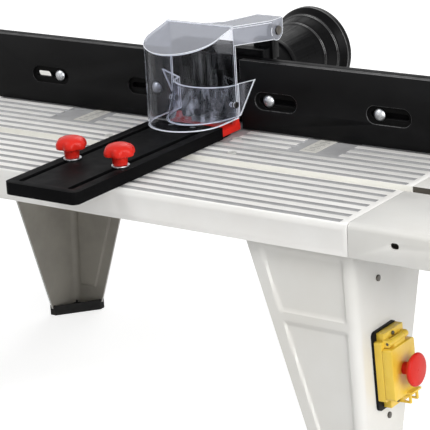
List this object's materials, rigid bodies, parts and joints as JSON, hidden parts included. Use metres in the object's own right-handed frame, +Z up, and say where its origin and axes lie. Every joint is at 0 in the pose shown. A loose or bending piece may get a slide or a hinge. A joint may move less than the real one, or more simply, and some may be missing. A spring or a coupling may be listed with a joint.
{
  "type": "router table",
  "caption": "Benchtop router table: ribbed top with wings, splayed legs, split fence with dust port, lifting clear guard, slotted hold-in bar and flap-covered switch.",
  "frame": {"origin": "middle of the overall footprint, on the floor under the feet", "axes": "+X along the table towards the switch, +Y from the operator's side towards the dust port, +Z up"},
  "size_m": [1.01, 0.5056, 0.4189],
  "materials": {
    "white_casting": "satin white powder paint over a ribbed casting",
    "white_sheet": "satin white powder paint over folded sheet steel",
    "scale_strip": "printed strip, left plain",
    "zinc_steel": "bright zinc plate",
    "black_rubber": "moulded rubber",
    "black_metal": "satin black paint",
    "black_plastic": "fine-grained moulded plastic",
    "clear_plastic": "clear polycarbonate sheet",
    "red_plastic": "moulded plastic",
    "yellow_plastic": "moulded plastic",
    "grey_plastic": "moulded plastic",
    "green_plastic": "moulded plastic"
  },
  "bodies": {
    "table": {"deck_front": "white_casting", "deck_rear": "white_casting", "slot_floor": "white_casting", "apron": "white_casting", "leg_bosses": "white_casting", "insert_ring": "black_plastic", "router_screws": "zinc_steel", "scale_left": "scale_strip", "scale_right": "scale_strip", "wing_left": "white_sheet", "wing_right": "white_sheet", "wing_bolts": "zinc_steel", "leg_front_left": "white_sheet", "leg_front_right": "white_sheet", "leg_rear_left": "white_sheet", "leg_rear_right": "white_sheet", "leg_bolts": "zinc_steel", "foot_front_left": "black_rubber", "foot_front_right": "black_rubber", "foot_rear_left": "black_rubber", "foot_rear_right": "black_rubber", "bar_studs": "zinc_steel", "stud_washers": "zinc_steel", "switch_plate": "black_plastic", "switch_case": "yellow_plastic", "contact_block": "grey_plastic", "switch_box": "zinc_steel", "switch_screws": "zinc_steel", "lid_pin": "zinc_steel", "lock_hasp": "yellow_plastic"},
    "fence": {"fence_body": "black_metal", "facing_bolts": "zinc_steel", "clamp_bolts": "zinc_steel", "dust_box": "black_plastic", "dust_port": "black_plastic", "box_screws": "zinc_steel", "hood_pin": "zinc_steel"},
    "left_facing": {"facing_left": "black_plastic"},
    "right_facing": {"facing_right": "black_plastic"},
    "facing_nut_a": {"facing_nut_1": "black_plastic"},
    "facing_nut_b": {"facing_nut_2": "black_plastic"},
    "facing_nut_c": {"facing_nut_3": "black_plastic"},
    "facing_nut_d": {"facing_nut_4": "black_plastic"},
    "left_clamp_knob": {"clamp_knob_left": "red_plastic"},
    "right_clamp_knob": {"clamp_knob_right": "red_plastic"},
    "guard": {"hood": "clear_plastic", "inner_shield": "clear_plastic", "shield_rivets": "zinc_steel"},
    "bar": {"slide_bar": "black_metal", "red_shoe": "red_plastic", "shoe_screws": "zinc_steel"},
    "left_bar_knob": {"bar_knob_left": "red_plastic"},
    "right_bar_knob": {"bar_knob_right": "red_plastic"},
    "flap": {"flap_lid": "yellow_plastic"},
    "mushroom": {"stop_mushroom": "red_plastic"},
    "start": {"start_button": "green_plastic"},
    "stop": {"stop_button": "red_plastic"}
  },
  "joints": [
    {"name": "fence_slide", "type": "slide", "parent": "table", "child": "fence", "axis": [0, 1, 0], "range_m": [0, 0.03]},
    {"name": "left_facing_slide", "type": "slide", "parent": "fence", "child": "left_facing", "axis": [1, 0, 0], "range_m": [-0.0065, 0.027]},
    {"name": "right_facing_slide", "type": "slide", "parent": "fence", "child": "right_facing", "axis": [1, 0, 0], "range_m": [-0.027, 0.0065]},
    {"name": "facing_nut_a_turn", "type": "hinge", "parent": "fence", "child": "facing_nut_a", "pos_m": [-0.209, 0.06515, 0.3375], "axis": [0, 1, 0], "continuous": true},
    {"name": "facing_nut_b_turn", "type": "hinge", "parent": "fence", "child": "facing_nut_b", "pos_m": [-0.074, 0.06515, 0.3375], "axis": [0, 1, 0], "continuous": true},
    {"name": "facing_nut_c_turn", "type": "hinge", "parent": "fence", "child": "facing_nut_c", "pos_m": [0.074, 0.06515, 0.3375], "axis": [0, 1, 0], "continuous": true},
    {"name": "facing_nut_d_turn", "type": "hinge", "parent": "fence", "child": "facing_nut_d", "pos_m": [0.209, 0.06515, 0.3375], "axis": [0, 1, 0], "continuous": true},
    {"name": "left_clamp_turn", "type": "hinge", "parent": "fence", "child": "left_clamp_knob", "pos_m": [-0.172, 0.08585, 0.322], "axis": [0, 0, 1], "continuous": true},
    {"name": "right_clamp_turn", "type": "hinge", "parent": "fence", "child": "right_clamp_knob", "pos_m": [0.172, 0.08585, 0.322], "axis": [0, 0, 1], "continuous": true},
    {"name": "guard_lift", "type": "hinge", "parent": "fence", "child": "guard", "pos_m": [0, 0.07715, 0.4066], "axis": [-1, 0, 0], "range_deg": [0, 80]},
    {"name": "bar_slide", "type": "slide", "parent": "table", "child": "bar", "axis": [0, 1, 0], "range_m": [-0.1, 0]},
    {"name": "left_knob_turn", "type": "hinge", "parent": "table", "child": "left_bar_knob", "pos_m": [-0.0305, -0.16135, 0.329], "axis": [0, 0, 1], "continuous": true},
    {"name": "right_knob_turn", "type": "hinge", "parent": "table", "child": "right_bar_knob", "pos_m": [0.0305, -0.16135, 0.329], "axis": [0, 0, 1], "continuous": true},
    {"name": "flap_lift", "type": "hinge", "parent": "table", "child": "flap", "pos_m": [0.32267, -0.13085, 0.17533], "axis": [0, -1, 0], "range_deg": [0, 95]},
    {"name": "mushroom_press", "type": "slide", "parent": "flap", "child": "mushroom", "axis": [-0.9983, 0, -0.0589], "range_m": [0, 0.004], "stiffness_N_per_m": 600},
    {"name": "start_press", "type": "slide", "parent": "table", "child": "start", "axis": [-0.9983, 0, -0.0589], "range_m": [0, 0.003], "stiffness_N_per_m": 400},
    {"name": "stop_press", "type": "slide", "parent": "table", "child": "stop", "axis": [-0.9983, 0, -0.0589], "range_m": [0, 0.003], "stiffness_N_per_m": 400}
  ]
}
